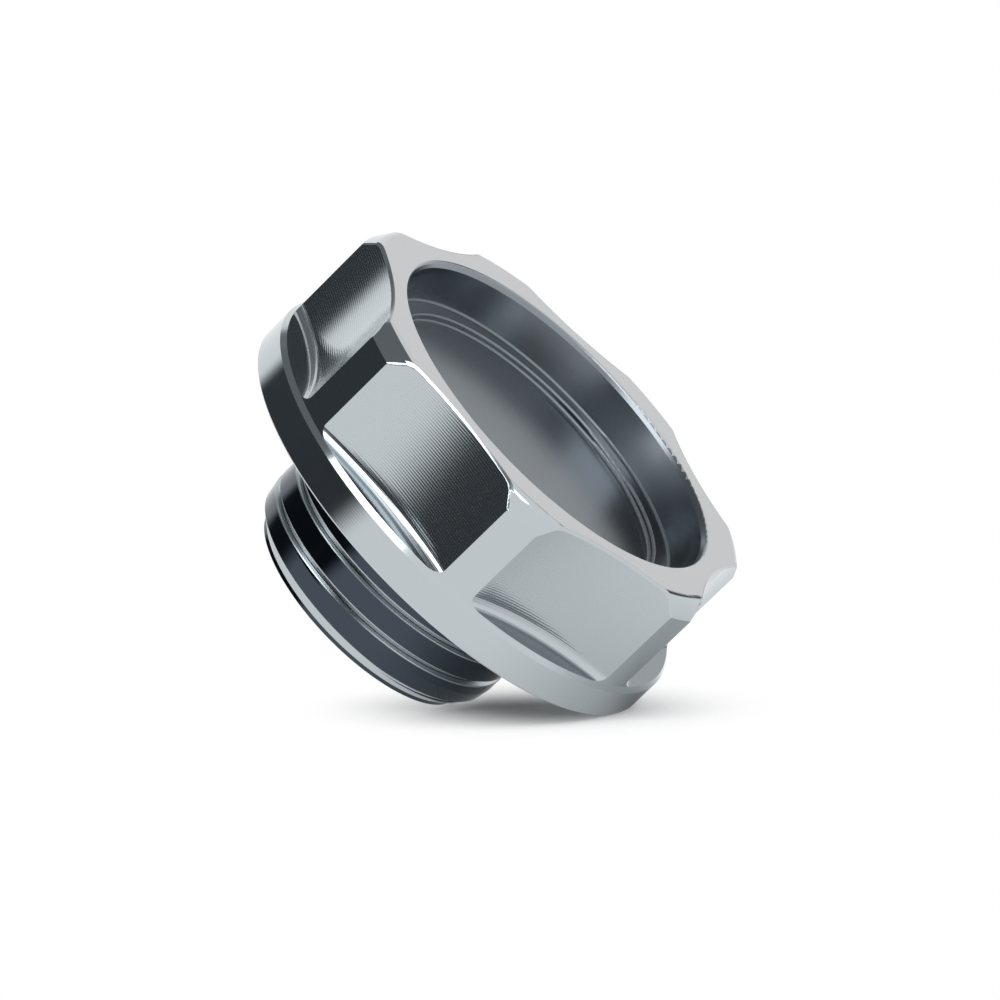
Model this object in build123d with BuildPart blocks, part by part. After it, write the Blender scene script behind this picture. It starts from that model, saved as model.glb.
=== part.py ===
"""Oil filler cap: a turned and milled aluminium cap with a seven-flute grip and a coarse threaded spigot.

The cap stands upright on the flat ring at the end of its spigot. Its turning axis is Z, its head is
up, and the origin is the centre of the spigot's end plane. Sizes are in millimetres.
"""

import os

from build123d import *

# Spigot: the threaded tube that goes into the filler neck, from its end up to the flange
spigot_length = 14.6
crest_radius = 16.45
end_land_drop = 1.9
end_land_height = 0.45
lead_drop = 0.35
lead_foot = 1.9
lead_top = 4.0
neck_drop = 1.45
neck_length = 3.2
neck_lead = 0.8

# Thread: M33 x 3.5, right hand, a narrow groove between wide flat crests, with a long flank that
# faces the spigot's end and a steep one that faces the flange
thread_pitch = 3.5
thread_depth = 0.8
thread_groove_width = 1.0
thread_flank_run = 0.75
thread_root_width = 0.12
thread_edge_break = 0.1
groove_height = 5.0
groove_angle = 284.1
groove_overcut = 0.4
groove_runout = 1.2

# Bore in the spigot
spigot_wall = 3.85
bore_depth = 16.0
bore_corner_fillet = 1.2
bore_mouth_chamfer = 0.4

# Flange: the round plate at the foot of the head; these heights start at its underside, which
# has a shallow gland for the seal round the neck
flange_overhang = 0.45
flange_wall_height = 3.8
flange_shoulder_height = 0.6
flange_foot_chamfer = 0.2
gland_clearance = 0.46
gland_depth = 0.4

# Grip drum: the tall part that the fingers hold, with a bevelled crown
drum_radius = 28.05
drum_corner_height = 15.2
crown_height = 17.25
crown_bevel_width = 1.35
crown_edge_fillet = 1.2

# Flutes: round scallops milled into the drum, down to a flat ledge on the flange
flute_count = 7
flute_cutter_radius = 31.6
flute_depth = 3.65
flute_foot_fillet = 1.15
flute_top_fillet = 0.35

# Recess in the crown, with a stepped floor; its heights also start at the flange's underside
crown_width = 4.6
recess_lip_taper = 0.35
recess_band_height = 16.6
recess_wall_taper = 0.75
recess_lip_fillet = 0.45
ledge_height = 12.2
ledge_width = 2.15
floor_height = 11.35
recess_corner_fillet = 0.3

# Seal: a round rubber ring on the neck, its top in the gland under the flange
seal_section = 3.0
seal_clearance = 0.04

# Heights above the spigot's end that follow from the sizes above
neck_foot = spigot_length - neck_length
flange_wall_top = spigot_length + flange_wall_height
flange_top = flange_wall_top + flange_shoulder_height
drum_corner = spigot_length + drum_corner_height
crown = spigot_length + crown_height
recess_band = spigot_length + recess_band_height
ledge = spigot_length + ledge_height
recess_floor = spigot_length + floor_height
gland_floor = spigot_length + gland_depth
flute_cut_height = crown - flange_top + 1

# Radii that follow from the drum's
flange_radius = drum_radius + flange_overhang
bevel_top_radius = drum_radius - crown_bevel_width
flute_floor_radius = drum_radius - flute_depth
recess_mouth_radius = bevel_top_radius - crown_width
recess_band_radius = recess_mouth_radius - recess_lip_taper
recess_foot_radius = recess_band_radius - recess_wall_taper
ledge_inner_radius = recess_foot_radius - ledge_width

# Radii that follow from the thread's crest
end_land_radius = crest_radius - end_land_drop
lead_radius = crest_radius - lead_drop
neck_radius = crest_radius - neck_drop
bore_radius = crest_radius - spigot_wall
gland_radius = neck_radius + seal_clearance + seal_section + gland_clearance

# The flute cutter: a round tool with a rounded nose, standing on the ledge
with BuildPart() as flute_cutter:
    with BuildSketch(Plane.XY.offset(flange_top)):
        Circle(flute_cutter_radius)
    extrude(amount=flute_cut_height)
    fillet(flute_cutter.faces().sort_by(Axis.Z)[0].edges(), flute_foot_fillet)

# The thread cutter: the groove's section, carried along the helix. Its second coordinate points
# towards the spigot's end, so the long flank comes first. Both sides run on past the crest
far_lip = -thread_groove_width / 2
near_lip = thread_groove_width / 2
root_start = far_lip + thread_flank_run
root_end = root_start + thread_root_width
far_overcut = groove_overcut * thread_flank_run / thread_depth
groove_at_zero = groove_height + thread_pitch * (360 - groove_angle) / 360
groove_foot = groove_at_zero - 2 * thread_pitch
groove_rise = neck_foot + groove_runout - groove_foot
with BuildPart() as thread_cutter:
    with BuildLine() as groove_path:
        Helix(thread_pitch, groove_rise, crest_radius, center=(0, 0, groove_foot))
    groove_plane = Plane(
        origin=groove_path.line @ 0,
        x_dir=(1, 0, 0),
        z_dir=groove_path.line % 0,
    )
    with BuildSketch(groove_plane):
        with BuildLine():
            Polyline(
                (groove_overcut, far_lip - far_overcut),
                (-thread_depth, root_start),
                (-thread_depth, root_end),
                (-thread_edge_break, near_lip - thread_edge_break),
                (groove_overcut, near_lip + groove_overcut),
                close=True,
            )
        make_face()
    sweep(path=groove_path.wires()[0], is_frenet=True)

# The spigot: a bar threaded over its whole length, then turned down at both ends
with BuildPart() as spigot:
    Cylinder(crest_radius, gland_floor, align=(Align.CENTER, Align.CENTER, Align.MIN))
    add(thread_cutter.part, mode=Mode.SUBTRACT)
    with BuildSketch(Plane.XZ):
        with BuildLine():
            Polyline(
                (0, 0),
                (end_land_radius, 0),
                (end_land_radius, end_land_height),
                (lead_radius, lead_foot),
                (crest_radius, lead_top),
                (crest_radius + groove_overcut, lead_top),
                (crest_radius + groove_overcut, neck_foot - neck_lead),
                (crest_radius, neck_foot - neck_lead),
                (neck_radius, neck_foot),
                (neck_radius, gland_floor),
                (0, gland_floor),
                close=True,
            )
        make_face()
    revolve(axis=Axis.Z, mode=Mode.INTERSECT)

with BuildPart() as cap_body:
    # The head as turned: half of its section, spun about the axis, on top of the spigot
    with BuildSketch(Plane.XZ):
        with BuildLine():
            Polyline(
                (0, recess_floor),
                (ledge_inner_radius, recess_floor),
                (ledge_inner_radius, ledge),
                (recess_foot_radius, ledge),
                (recess_band_radius, recess_band),
                (recess_mouth_radius, crown),
                (bevel_top_radius, crown),
                (drum_radius, drum_corner),
                (drum_radius, flange_top),
                (flange_radius, flange_wall_top),
                (flange_radius, spigot_length + flange_foot_chamfer),
                (flange_radius - flange_foot_chamfer, spigot_length),
                (gland_radius, spigot_length),
                (gland_radius, gland_floor),
                (0, gland_floor),
                close=True,
            )
        make_face()
    revolve(axis=Axis.Z)
    add(spigot.part)

    # The bore, closed below the recess
    Cylinder(
        bore_radius,
        bore_depth,
        align=(Align.CENTER, Align.CENTER, Align.MIN),
        mode=Mode.SUBTRACT,
    )

    # Edges broken and corners rounded by the lathe
    turned_edges = cap_body.edges().filter_by(GeomType.CIRCLE)
    lip = turned_edges.filter_by(lambda e: abs(e.radius - recess_mouth_radius) < 0.01)
    fillet(lip, recess_lip_fillet)
    turned_edges = cap_body.edges().filter_by(GeomType.CIRCLE)
    bevel_top = turned_edges.filter_by(lambda e: abs(e.radius - bevel_top_radius) < 0.01)
    fillet(bevel_top, crown_edge_fillet)
    turned_edges = cap_body.edges().filter_by(GeomType.CIRCLE)
    foot = turned_edges.filter_by(lambda e: abs(e.radius - recess_foot_radius) < 0.01)
    step = turned_edges.filter_by(lambda e: abs(e.radius - ledge_inner_radius) < 0.01)
    fillet(foot + step, recess_corner_fillet)
    turned_edges = cap_body.edges().filter_by(GeomType.CIRCLE)
    bore_rims = turned_edges.filter_by(lambda e: abs(e.radius - bore_radius) < 0.01).sort_by(Axis.Z)
    fillet(bore_rims[-1], bore_corner_fillet)
    chamfer(bore_rims[0], bore_mouth_chamfer)

    # Flutes: the cutter stepped round the drum, the first one facing -Y
    with PolarLocations(flute_floor_radius + flute_cutter_radius, flute_count, start_angle=-90):
        add(flute_cutter.part, mode=Mode.SUBTRACT)

    # Rounded edge along each flute's arched top
    flute_walls = cap_body.faces().filter_by(GeomType.CYLINDER).filter_by(
        lambda f: abs(f.radius - flute_cutter_radius) < 0.01
    )
    flute_tops = flute_walls.edges().filter_by(lambda e: e.center().Z > drum_corner and e.length > 1)
    fillet(flute_tops, flute_top_fillet)

cap_body.part.label = "cap_body"

with BuildPart() as sealing_ring:
    with BuildSketch(Plane.XZ):
        seal_centre = (
            neck_radius + seal_clearance + seal_section / 2,
            gland_floor - seal_clearance - seal_section / 2,
        )
        with Locations(seal_centre):
            Circle(seal_section / 2)
    revolve(axis=Axis.Z)
sealing_ring.part.label = "sealing_ring"

os.makedirs("parts", exist_ok=True)
for piece in (cap_body, sealing_ring):
    export_step(piece.part, f"parts/{piece.part.label}.step")
    print(piece.part.label, "volume mm3", round(piece.part.volume, 1), "valid", piece.part.is_valid)
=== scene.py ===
# %% [markdown]
# # A milled filler cap in grey anodised aluminium
#
# The cap is one billet of aluminium: turned on a lathe, milled with seven flutes, then anodised
# in a clear grey. Its shape comes from the CAD model, which is loaded as it is. This script gives
# each solid its finish and sets up the table, the light and the camera that show it.
#
# Everything is in metres, in the CAD model's own frame: the cap stands on its spigot's end, with
# its turning axis along Z. A millimetre is written as 1 * mm.

# %% Load the solids
from math import asin, cos, degrees, pi, radians, sin

import bmesh
import bpy
from mathutils import Matrix, Vector


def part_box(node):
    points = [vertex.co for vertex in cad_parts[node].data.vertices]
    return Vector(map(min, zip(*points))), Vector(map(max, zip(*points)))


mm = 0.001
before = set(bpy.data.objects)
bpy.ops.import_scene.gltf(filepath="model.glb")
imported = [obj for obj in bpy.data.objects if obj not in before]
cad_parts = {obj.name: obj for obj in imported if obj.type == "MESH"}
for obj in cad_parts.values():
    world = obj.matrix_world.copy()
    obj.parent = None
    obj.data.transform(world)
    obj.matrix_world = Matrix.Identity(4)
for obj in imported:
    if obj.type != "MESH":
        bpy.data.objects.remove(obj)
bpy.context.view_layer.update()

# %% [markdown]
# ## The sizes that the finish follows
#
# The tools that cut the cap left different marks on its parts, so the finish has to know where
# each part is. Only a few sizes are needed, and the overall ones are read from the solid itself.

# %% Sizes of the cap
body_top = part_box("cap_body")[1]
flange_radius = body_top.x
crown = body_top.z
flange_seat = 14.6 * mm
flange_foot = flange_seat + 0.2 * mm
flange_top = flange_seat + 4.4 * mm
drum_corner = flange_seat + 15.2 * mm
drum_radius = 28.05 * mm
recess_radius = 22.1 * mm
crest_radius = 16.45 * mm
crest_foot = 1.9 * mm
flute_count = 7
flute_cutter_radius = 31.6 * mm
flute_depth = 3.65 * mm
flute_edge = 0.35 * mm
print("crown at", round(crown / mm, 2), "mm, flange", round(2 * flange_radius / mm, 2), "mm across")

# %% [markdown]
# ## Camera
#
# The photograph was taken with a long lens, a little from the crown's side, and with the cap
# leaning over. In the cap's own frame that is a camera that is turned, raised and rolled. The
# three angles and the distance below are what fits the photograph's round edges.

# %% Camera
view_azimuth = radians(14.1)
view_elevation = radians(19.79)
view_roll = radians(45.8)
view_distance = 712.5 * mm
view_right = 5.24 * mm
view_up = 1.88 * mm

to_camera = Vector(
    (
        sin(view_azimuth) * cos(view_elevation),
        -cos(view_azimuth) * cos(view_elevation),
        sin(view_elevation),
    )
)
level_right = Vector((cos(view_azimuth), sin(view_azimuth), 0))
level_up = to_camera.cross(level_right)
camera_right = level_right * cos(view_roll) + level_up * sin(view_roll)
camera_up = level_up * cos(view_roll) - level_right * sin(view_roll)
camera_place = (
    Vector((0, 0, flange_seat))
    + to_camera * view_distance
    + camera_right * view_right
    + camera_up * view_up
)
lens = bpy.data.cameras.new("camera")
lens.sensor_width = 36
lens.lens = 234.4
lens.clip_start = 0.05
lens.clip_end = 20
camera = bpy.data.objects.new("camera", lens)
bpy.context.scene.collection.objects.link(camera)
camera.matrix_world = (
    Matrix.Translation(camera_place)
    @ Matrix((camera_right, camera_up, to_camera)).transposed().to_4x4()
)
bpy.context.scene.camera = camera
print("camera at", [round(v, 3) for v in camera_place])

# %% [markdown]
# ## Where the table is
#
# In the photograph the cap lies on a white table, leaning on two points: the rim of its flange
# and the foot of its thread. The line through those two points gives the table's tilt in the
# cap's frame, and a turn about Z makes the table level for the camera. Directions in the studio
# are then given as an azimuth, with 0 towards the camera and 90 to its right, and an elevation.

# %% Directions of the studio
table_azimuth = radians(2.7)
table_turn = Matrix.Rotation(table_azimuth, 3, "Z")
rim_point = Vector((flange_radius, 0, flange_foot))
toe_point = Vector((crest_radius, 0, crest_foot))
slope = (rim_point - toe_point).normalized()
studio_up = table_turn @ Vector((-slope.z, 0, slope.x))
studio_front = (to_camera - studio_up * to_camera.dot(studio_up)).normalized()
studio_right = studio_up.cross(studio_front)
studio_turn = Matrix((studio_right, studio_front * -1, studio_up)).transposed().to_4x4()
contact = table_turn @ ((rim_point + toe_point) / 2)
print("camera is", round(degrees(asin(to_camera.dot(studio_up))), 1), "degrees above the table")


def studio_place(azimuth, elevation, distance):
    """A frame at that place, whose Y axis is up and whose -Z axis looks at the cap."""
    a, e = radians(azimuth), radians(elevation)
    back = (studio_front * cos(a) + studio_right * sin(a)) * cos(e) + studio_up * sin(e)
    side = studio_up.cross(back).normalized()
    turn = Matrix((side, back.cross(side), back)).transposed().to_4x4()
    return Matrix.Translation(contact + back * distance) @ turn


def table_place(front, right, lift):
    """A frame that lies flat, that far in front of the cap, to its right and off the table."""
    shift = studio_front * front + studio_right * right + studio_up * lift
    return Matrix.Translation(contact + shift) @ studio_turn


# %% [markdown]
# ## Colours and nodes
#
# Colours are written as the sRGB hex values that a colour picker shows, and one function turns
# them into the linear values that the renderer works with. A second one adds a shader node, sets
# it up and links it, so a material reads as a list of what it does.
#
# A Mix node has the same socket names once for each type of value, so its sockets are picked by
# number. Those numbers have names here.

# %% Helpers for colours and nodes
vector_a, vector_b, vector_out = 4, 5, 1
colour_a, colour_b, colour_out = 6, 7, 2


def colour(hex_value):
    """A linear RGBA colour from an sRGB hex value such as "#bcc5ca"."""
    channels = [int(hex_value[i : i + 2], 16) / 255 for i in (1, 3, 5)]
    linear = [c / 12.92 if c <= 0.04045 else ((c + 0.055) / 1.055) ** 2.4 for c in channels]
    return (*linear, 1)


def add_node(tree, kind, inputs=None, **settings):
    """Adds a node, sets its properties, and fills its inputs with values, sockets or nodes."""
    node = tree.nodes.new(kind)
    for name, value in settings.items():
        setattr(node, name, value)
    for name, value in (inputs or {}).items():
        if isinstance(value, bpy.types.Node):
            value = value.outputs[0]
        if isinstance(value, bpy.types.NodeSocket):
            tree.links.new(value, node.inputs[name])
        else:
            node.inputs[name].default_value = value
    return node


def new_material(name):
    """An empty node material and its tree."""
    material = bpy.data.materials.new(name)
    material.use_nodes = True
    material.node_tree.nodes.clear()
    return material, material.node_tree


def looked_at(tree):
    """1 where the eye or a mirror looks, straight or through something clear, and 0 for light."""
    ray = add_node(tree, "ShaderNodeLightPath")
    seen = ray.outputs["Is Camera Ray"]
    for kind in ("Is Glossy Ray", "Is Transmission Ray"):
        either = {0: seen, 1: ray.outputs[kind]}
        seen = add_node(tree, "ShaderNodeMath", either, operation="MAXIMUM")
    return seen


# %% [markdown]
# ## The white room
#
# Polished metal has hardly a colour of its own: it shows the room. The photograph's room is a
# white one, so the world is plain white where the eye or a mirror looks, and a little weaker as
# a light, because the lamp adds to it.

# %% World
room_light = 0.8
world = bpy.data.worlds.new("white room")
bpy.context.scene.world = world
world.use_nodes = True
room = world.node_tree
room.nodes.clear()
seen = looked_at(room)
level = add_node(room, "ShaderNodeMapRange", {"Value": seen, "To Min": room_light, "To Max": 1.0})
white = add_node(room, "ShaderNodeBackground", {"Color": (1, 1, 1, 1), "Strength": level})
add_node(room, "ShaderNodeOutputWorld", {"Surface": white})
print("room light", room_light)

# %% [markdown]
# ## The softbox
#
# One wide softbox hangs in front of the cap, above the camera. It draws the bright lines on the
# rounded edges and throws the soft shadow. Its power follows from its size, so that the box can
# be made larger or smaller without changing how bright it looks.

# %% Softbox
softbox_width, softbox_height = 1.5, 0.46
softbox_brightness = 2.0
softbox = bpy.data.lights.new("softbox", "AREA")
softbox.shape = "RECTANGLE"
softbox.size, softbox.size_y = softbox_width, softbox_height
softbox.energy = softbox_brightness * pi * softbox_width * softbox_height
softbox_object = bpy.data.objects.new("softbox", softbox)
bpy.context.scene.collection.objects.link(softbox_object)
softbox_object.matrix_world = studio_place(azimuth=0, elevation=49, distance=0.8)
softbox_object.visible_camera = False
print("softbox power", round(softbox.energy, 2), "W")

# %% [markdown]
# ## The table
#
# The table is a white sheet that runs out into the white room. Near the cap its top is matt and
# carries the shadow. Further out it fades to plain white for the eye and for mirrors, so that no
# horizon shows. Its underside lets the eye through, so that the cap can be looked at from below.


# %% Table
def add_sheet(name, place, width, height, material):
    """A flat sheet with one face, whose UV map runs from 0 to 1 both ways."""
    sheet = bmesh.new()
    sheet.loops.layers.uv.new("UVMap")
    bmesh.ops.create_grid(sheet, x_segments=1, y_segments=1, size=0.5, calc_uvs=True)
    bmesh.ops.scale(sheet, vec=(width, height, 1), verts=sheet.verts)
    bmesh.ops.transform(sheet, matrix=place, verts=sheet.verts)
    data = bpy.data.meshes.new(name)
    sheet.to_mesh(data)
    sheet.free()
    data.materials.append(material)
    sheet_object = bpy.data.objects.new(name, data)
    bpy.context.scene.collection.objects.link(sheet_object)
    return sheet_object


table_width = 8.0
fade_start, fade_end = 3 * mm, 28 * mm
table_material, tree = new_material("white_table")
where = add_node(tree, "ShaderNodeTexCoord")
offset = add_node(
    tree, "ShaderNodeVectorMath", {0: where.outputs["Object"], 1: contact}, operation="DISTANCE"
)
far_away = add_node(
    tree,
    "ShaderNodeMapRange",
    {"Value": offset.outputs["Value"], "From Min": fade_start, "From Max": fade_end},
    interpolation_type="SMOOTHSTEP",
)
seen = looked_at(tree)
plain = add_node(tree, "ShaderNodeMath", {0: seen, 1: far_away}, operation="MULTIPLY")
paint = add_node(tree, "ShaderNodeBsdfDiffuse", {"Color": colour("#fafafa")})
glow = add_node(tree, "ShaderNodeEmission", {"Color": (1, 1, 1, 1), "Strength": 1.0})
top = add_node(tree, "ShaderNodeMixShader", {0: plain, 1: paint, 2: glow})
clear = add_node(tree, "ShaderNodeBsdfTransparent")
side = add_node(tree, "ShaderNodeNewGeometry")
one_sided = add_node(
    tree, "ShaderNodeMixShader", {0: side.outputs["Backfacing"], 1: top, 2: clear}
)
add_node(tree, "ShaderNodeOutputMaterial", {"Surface": one_sided})

table = add_sheet("table", table_place(0, 0, 0), table_width, table_width, table_material)
print("table", table_width, "m wide")

# %% [markdown]
# ## Cards
#
# In an all-white room a polished cap would look flat, so a photographer stands cards round it for
# the metal to mirror. Three dark ones give it its dark sides: a small one close in front and two
# further out, left and right. Two grey ones, behind it and overhead, keep the crown and the
# recess below white. Two soft ones lie on the table as painted shadow: they darken what the metal
# mirrors there, where the cap's own shadow falls.
#
# The cards are only seen in reflections, so the camera looks through them and they throw no
# shadow. Their edges fade, as a card's edge does in brushed metal.


# %% Cards
def add_card(name, place, width, height, shade, fade):
    """A card whose edges fade over the given share of its size, seen only in reflections."""
    material, tree = new_material(name)
    where = add_node(tree, "ShaderNodeUVMap")
    split = add_node(tree, "ShaderNodeSeparateXYZ", {0: where})
    edges = []
    for axis in ("X", "Y"):
        centred = add_node(
            tree, "ShaderNodeMath", {0: split.outputs[axis], 1: 0.5}, operation="SUBTRACT"
        )
        off_centre = add_node(tree, "ShaderNodeMath", {0: centred}, operation="ABSOLUTE")
        edge = add_node(
            tree,
            "ShaderNodeMapRange",
            {"Value": off_centre, "From Min": 0.5, "From Max": 0.5 - fade},
            interpolation_type="SMOOTHSTEP",
        )
        edges.append(edge)
    cover = add_node(tree, "ShaderNodeMath", {0: edges[0], 1: edges[1]}, operation="MULTIPLY")
    card = add_node(tree, "ShaderNodeEmission", {"Color": colour(shade)})
    nothing = add_node(tree, "ShaderNodeBsdfTransparent")
    mix = add_node(tree, "ShaderNodeMixShader", {0: cover, 1: nothing, 2: card})
    add_node(tree, "ShaderNodeOutputMaterial", {"Surface": mix})
    card_object = add_sheet(name, place, width, height, material)
    card_object.visible_camera = False
    card_object.visible_diffuse = False
    card_object.visible_shadow = False
    card_object.visible_transmission = False


# Each row: name, azimuth, elevation, distance, width, height, colour, faded share
standing_cards = (
    ("front_card", -32, 21, 0.234, 0.58, 0.18, "#3a3d40", 0.25),
    ("right_card", 128, 22, 1.0, 0.5, 0.4, "#4a4e50", 0.25),
    ("left_card", -98, 25, 1.0, 1.5, 0.8, "#3c4144", 0.2),
    ("back_card", -145, 57, 1.3, 1.6, 0.8, "#808284", 0.2),
    ("top_card", -120, 86, 1.1, 1.3, 1.3, "#76787a", 0.15),
)
for name, azimuth, elevation, distance, width, height, shade, fade in standing_cards:
    add_card(name, studio_place(azimuth, elevation, distance), width, height, shade, fade)

# The two lying cards are painted shadow in the metal's reflections, darkest at the contact.
# Each row, in millimetres up to the colour: name, front, right, lift, width, height
lying_cards = (
    ("shade_card", 2, 16, 0.05, 76, 64, "#b4b6b8", 0.5),
    ("contact_shadow_card", -2, 5, 0.1, 32, 26, "#5a5c5e", 0.45),
)
for name, front, right, lift, width, height, shade, fade in lying_cards:
    place = table_place(front * mm, right * mm, lift * mm)
    add_card(name, place, width * mm, height * mm, shade, fade)
print(len(standing_cards), "cards stand round the cap and", len(lying_cards), "lie on the table")

# %% [markdown]
# ## Where each tool went
#
# Anodising grows a thin, hard, clear layer on the metal, and a little grey dye sits in it. The
# metal under it stays a mirror, and what the eye reads are the marks of the tools. The lathe left
# fine rings on the crown, the flange and the thread. The milling cutter stepped down the flutes
# and left ridges. The recess and the thread's groove were left satin. The recess and the ledges at
# the foot of the flutes are darkened with painted shade, and the thread's crests are drawn much
# darker.
#
# The solid has one material, so each mark finds its own part of the cap by height and radius. For
# the flutes the angle is folded into one seventh of a turn, which makes all of them one flute,
# and the distance to the cutter's wall is then a plain sum.

# %% Height, radius and distance to the nearest flute
cap_metal, tree = new_material("anodised_aluminium")
place = add_node(tree, "ShaderNodeTexCoord").outputs["Object"]
split = add_node(tree, "ShaderNodeSeparateXYZ", {0: place})
height = split.outputs["Z"]
level_place = add_node(
    tree, "ShaderNodeVectorMath", {0: place, 1: (1, 1, 0)}, operation="MULTIPLY"
)
radius = add_node(
    tree, "ShaderNodeVectorMath", {0: level_place}, operation="LENGTH"
).outputs["Value"]
outward = add_node(tree, "ShaderNodeVectorMath", {0: level_place}, operation="NORMALIZE")
angle = add_node(
    tree, "ShaderNodeMath", {0: split.outputs["Y"], 1: split.outputs["X"]}, operation="ARCTAN2"
)
# The first flute faces -Y, a quarter of a turn before X
from_flute = add_node(tree, "ShaderNodeMath", {0: angle, 1: pi / 2}, operation="ADD")
folded = add_node(
    tree,
    "ShaderNodeMath",
    {0: from_flute, 1: pi / flute_count, 2: -pi / flute_count},
    operation="WRAP",
)
cutter_angle = add_node(tree, "ShaderNodeMath", {0: angle, 1: folded}, operation="SUBTRACT")
cutter_x = add_node(tree, "ShaderNodeMath", {0: cutter_angle}, operation="COSINE")
cutter_y = add_node(tree, "ShaderNodeMath", {0: cutter_angle}, operation="SINE")
cutter_way = add_node(tree, "ShaderNodeCombineXYZ", {"X": cutter_x, "Y": cutter_y})
cutter_distance = drum_radius - flute_depth + flute_cutter_radius
cutter_axis = add_node(
    tree, "ShaderNodeVectorMath", {0: cutter_way, "Scale": cutter_distance}, operation="SCALE"
)
to_axis = add_node(
    tree, "ShaderNodeVectorMath", {0: cutter_axis, 1: level_place}, operation="SUBTRACT"
)
axis_distance = add_node(
    tree, "ShaderNodeVectorMath", {0: to_axis}, operation="LENGTH"
).outputs["Value"]
flute_gap = add_node(
    tree, "ShaderNodeMath", {0: axis_distance, 1: flute_cutter_radius}, operation="SUBTRACT"
)
wall_way = add_node(tree, "ShaderNodeVectorMath", {0: to_axis}, operation="NORMALIZE")

# %% [markdown]
# ## Masks
#
# A mask is 1 on one part of the cap and 0 elsewhere. The plain ones come first: each is a ramp
# along a height, a radius, a distance or the way that the surface faces. A way is given as a
# cosine, so 1 means that the surface faces exactly up, or exactly outward. The other masks each
# join two that are there already.

# %% Masks
# How far a mask keeps off a neighbouring surface, and over how much it fades
margin = 0.02 * mm
blend = 0.1 * mm

facing = add_node(tree, "ShaderNodeNewGeometry").outputs["Normal"]
facing_up = add_node(tree, "ShaderNodeSeparateXYZ", {0: facing}).outputs["Z"]
facing_out = add_node(
    tree, "ShaderNodeVectorMath", {0: facing, 1: outward}, operation="DOT_PRODUCT"
).outputs["Value"]

# The crown's bevel is 2.05 mm tall and 1.35 mm wide, and this is the way that it faces
bevel_out, bevel_rise = 0.835, 0.55
bevel_way = add_node(
    tree,
    "ShaderNodeVectorMath",
    {0: outward, 1: (bevel_out, bevel_out, 0), 2: (0, 0, bevel_rise)},
    operation="MULTIPLY_ADD",
)
like_bevel = add_node(
    tree, "ShaderNodeVectorMath", {0: facing, 1: bevel_way}, operation="DOT_PRODUCT"
).outputs["Value"]

# Each row: name, what it runs along, where it is 0, where it is 1
ramps = (
    ("at_flute_wall", flute_gap, 0.05 * mm, margin),
    ("above_flange", height, flange_top + margin, flange_top + blend),
    ("below_flange", height, flange_seat, flange_seat - blend),
    ("inside", radius, recess_radius + blend, recess_radius),
    ("outside", radius, recess_radius, recess_radius + blend),
    ("at_crown", height, crown - 3 * margin, crown - margin),
    ("below_lip", height, crown - 0.8 * mm, crown - 1.0 * mm),
    ("upright", facing_out, 0.8, 0.95),
    ("leaning", facing_up, 0.2, 0.4),
    ("level", facing_up, 0.9, 0.98),
    ("edge_start", flute_gap, 0.0, margin),
    ("edge_end", flute_gap, flute_edge + margin, flute_edge),
    ("over_land", height, drum_corner, drum_corner + blend),
    ("off_bevel", like_bevel, 0.9995, 0.996),
)
mask = {"everywhere": 1.0}
for name, value, zero_at, one_at in ramps:
    limits = {"Value": value, "From Min": zero_at, "From Max": one_at}
    mask[name] = add_node(tree, "ShaderNodeMapRange", limits)
mask["at_ledge"] = add_node(
    tree, "ShaderNodeMath", {0: height, 1: flange_top, 2: blend}, operation="COMPARE"
)

# Each row: name, first mask, how they are joined, second mask
joins = (
    ("in_flute", "at_flute_wall", "MULTIPLY", "above_flange"),
    ("in_recess", "inside", "MULTIPLY", "above_flange"),
    ("on_floor", "in_recess", "MULTIPLY", "level"),
    ("on_ledge", "level", "MULTIPLY", "at_ledge"),
    ("on_crown", "at_crown", "MULTIPLY", "outside"),
    ("on_crest", "upright", "MULTIPLY", "below_flange"),
    ("in_groove", "below_flange", "SUBTRACT", "on_crest"),
    ("not_milled", "everywhere", "SUBTRACT", "in_flute"),
    ("turned", "upright", "MAXIMUM", "on_crown"),
    ("turned", "turned", "MULTIPLY", "not_milled"),
    ("on_step", "leaning", "SUBTRACT", "level"),
    ("on_step", "on_step", "MULTIPLY", "in_recess"),
    ("on_step", "on_step", "MULTIPLY", "below_lip"),
    ("on_edge", "edge_start", "MULTIPLY", "edge_end"),
    ("on_edge", "on_edge", "MULTIPLY", "over_land"),
    ("on_edge", "on_edge", "MULTIPLY", "off_bevel"),
)
for name, first, operation, second in joins:
    pair = {0: mask[first], 1: mask[second]}
    mask[name] = add_node(tree, "ShaderNodeMath", pair, operation=operation)
print(len(mask), "masks")

# %% [markdown]
# ## Broken edges
#
# A file or a small cutter took the sharp edge off each flute's arch and left a narrow flat. The
# solid has a small rounding there, and turning its normals most of the way to its middle makes it
# shine as the flat does. In the thread's groove the normals are turned partly outward, so that
# the groove shines like one with soft corners, as it does in the photograph.

# %% Turned normals
flat_way = add_node(
    tree, "ShaderNodeVectorMath", {0: wall_way, 1: (0, 0, 1)}, operation="ADD"
)
flat_way = add_node(tree, "ShaderNodeVectorMath", {0: flat_way}, operation="NORMALIZE")
turned_normal = facing
for part, share, way in (("on_edge", 0.8, flat_way), ("in_groove", 0.4, outward)):
    amount = add_node(tree, "ShaderNodeMath", {0: mask[part], 1: share}, operation="MULTIPLY")
    mix = add_node(
        tree,
        "ShaderNodeMix",
        {"Factor": amount, vector_a: turned_normal, vector_b: way},
        data_type="VECTOR",
    )
    turned_normal = mix.outputs[vector_out]
turned_normal = add_node(tree, "ShaderNodeVectorMath", {0: turned_normal}, operation="NORMALIZE")

# %% [markdown]
# ## Marks of the tools
#
# The ridges in the flutes are as far apart as in the photograph, 0.29 mm, and waver a little,
# because the cutter did. A finishing cut leaves rings nearer 0.15 mm apart, and the etch leaves a
# grain of a few hundredths. Those two are drawn coarser here, so that the picture can show them.

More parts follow.
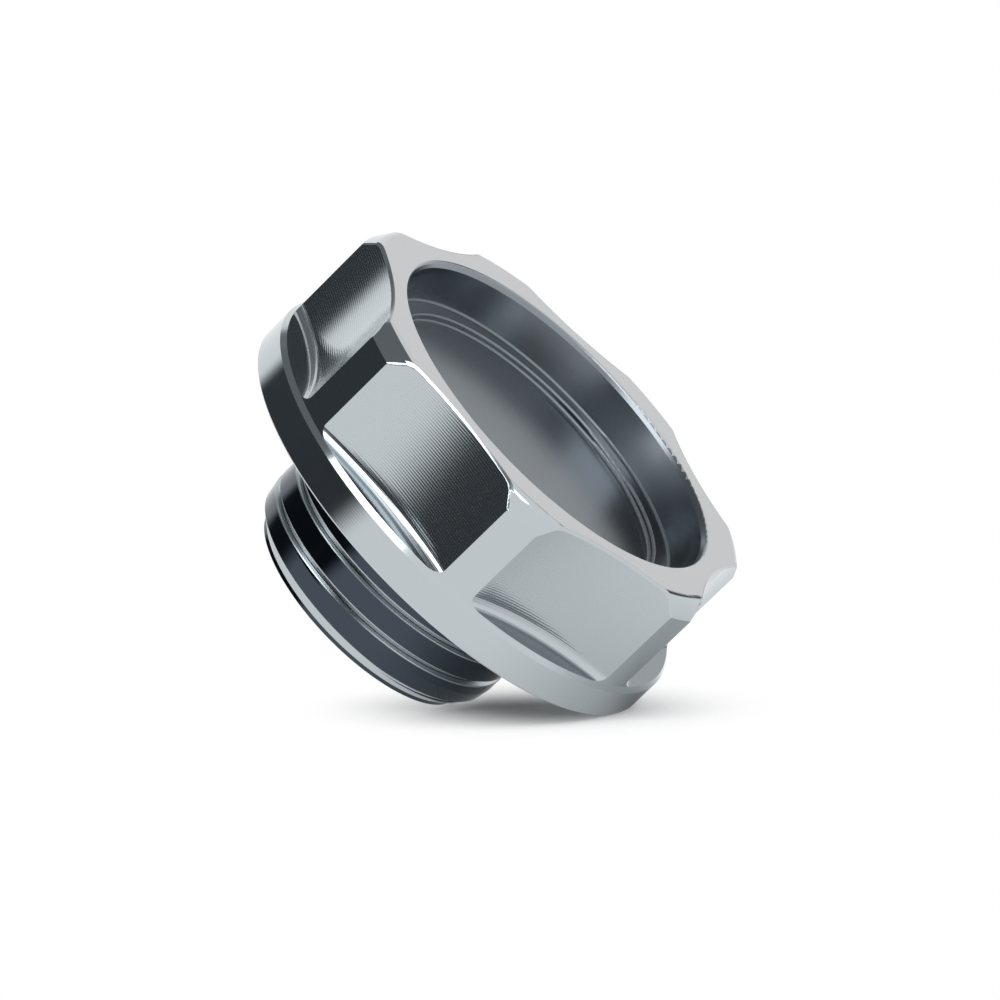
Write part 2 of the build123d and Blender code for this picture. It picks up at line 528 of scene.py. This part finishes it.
# %% Ridges, rings and grain
ridge_spacing = 0.29 * mm
ridge_height = 0.0023 * mm
waver_size = 7 * mm
waver_turn = 5.0
ring_spacing = 0.3 * mm
ring_height = 0.00025 * mm
grain_size = 0.16 * mm
grain_height = 0.0006 * mm

waver = add_node(
    tree, "ShaderNodeTexNoise", {"Vector": place, "Scale": 1 / waver_size, "Detail": 2.0}
)
waver = add_node(tree, "ShaderNodeMath", {0: waver, 1: waver_turn}, operation="MULTIPLY")
ridge_turns = add_node(
    tree,
    "ShaderNodeMath",
    {0: height, 1: 2 * pi / ridge_spacing, 2: waver},
    operation="MULTIPLY_ADD",
)
along_cut = add_node(tree, "ShaderNodeMath", {0: height, 1: radius}, operation="ADD")
ring_turns = add_node(
    tree, "ShaderNodeMath", {0: along_cut, 1: 2 * pi / ring_spacing}, operation="MULTIPLY"
)
marks = []
for turns, part in ((ridge_turns, "in_flute"), (ring_turns, "turned")):
    wave = add_node(tree, "ShaderNodeMath", {0: turns}, operation="SINE")
    marks.append(add_node(tree, "ShaderNodeMath", {0: wave, 1: mask[part]}, operation="MULTIPLY"))
ridges, rings = marks
grain = add_node(tree, "ShaderNodeTexNoise", {"Vector": place, "Scale": 1 / grain_size})
relief = turned_normal
for pattern, depth in ((ridges, ridge_height), (rings, ring_height), (grain, grain_height)):
    relief = add_node(
        tree, "ShaderNodeBump", {"Height": pattern, "Distance": depth, "Normal": relief}
    )

# %% [markdown]
# ## The metal itself
#
# One dye tints the whole cap, and the crown gets its own shade of it. The recess, darker still on
# its floor, and the ledges at the foot of the flutes get painted shade. The thread's crests, where
# they face outward, are drawn much darker. The roughness starts from the polished metal's, and each
# part adds to it. The small roundings in the recess are the roughest, which also hides the facets
# of their mesh.

# %% Metal
tint_and_shade = colour("#bdc5c9")
for part, shade in (
    ("on_crown", "#bdbfc1"),
    # Painted shade: the recess, darker still on its floor, and the ledges at the foot of the flutes
    ("in_recess", "#899096"),
    ("on_floor", "#6a7176"),
    ("on_ledge", "#7c8388"),
    # The thread's crests, where they face outward, are drawn much darker
    ("on_crest", "#434c55"),
):
    mix = add_node(
        tree,
        "ShaderNodeMix",
        {"Factor": mask[part], colour_a: tint_and_shade, colour_b: colour(shade)},
        data_type="RGBA",
    )
    tint_and_shade = mix.outputs[colour_out]

mask["ridge_tops"] = add_node(tree, "ShaderNodeMath", {0: ridges, 1: 0.0}, operation="MAXIMUM")
roughness = 0.1
for part, added in (
    ("in_recess", 0.13),
    ("in_groove", 0.15),
    ("ridge_tops", 0.15),
    ("on_step", 0.3),
    ("on_crown", 0.1),
):
    total = {0: mask[part], 1: added, 2: roughness}
    roughness = add_node(tree, "ShaderNodeMath", total, operation="MULTIPLY_ADD")

metal = add_node(
    tree,
    "ShaderNodeBsdfPrincipled",
    {"Base Color": tint_and_shade, "Metallic": 1.0, "Roughness": roughness, "Normal": relief},
)
add_node(tree, "ShaderNodeOutputMaterial", {"Surface": metal})
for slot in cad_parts["cap_body"].material_slots:
    slot.material = cap_metal

# %% [markdown]
# ## The sealing ring
#
# The ring is nitrile rubber, moulded and left matt: very dark, with a soft sheen and the grain of
# its mould, which is drawn coarser than real.

# %% Rubber
mould_grain = 0.4 * mm
mould_depth = 0.008 * mm
rubber, tree = new_material("moulded_rubber")
place = add_node(tree, "ShaderNodeTexCoord").outputs["Object"]
grain = add_node(
    tree, "ShaderNodeTexNoise", {"Vector": place, "Scale": 1 / mould_grain, "Detail": 3.0}
)
grain_bump = add_node(tree, "ShaderNodeBump", {"Height": grain, "Distance": mould_depth})
rubber_surface = add_node(
    tree,
    "ShaderNodeBsdfPrincipled",
    {"Base Color": colour("#1d1d1f"), "Roughness": 0.5, "Normal": grain_bump},
)
add_node(tree, "ShaderNodeOutputMaterial", {"Surface": rubber_surface})
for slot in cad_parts["sealing_ring"].material_slots:
    slot.material = rubber

# %% [markdown]
# ## Look
#
# The Standard view shows a colour as it is written.

# %% Look
bpy.context.scene.view_settings.view_transform = "Standard"
bpy.context.view_layer.update()
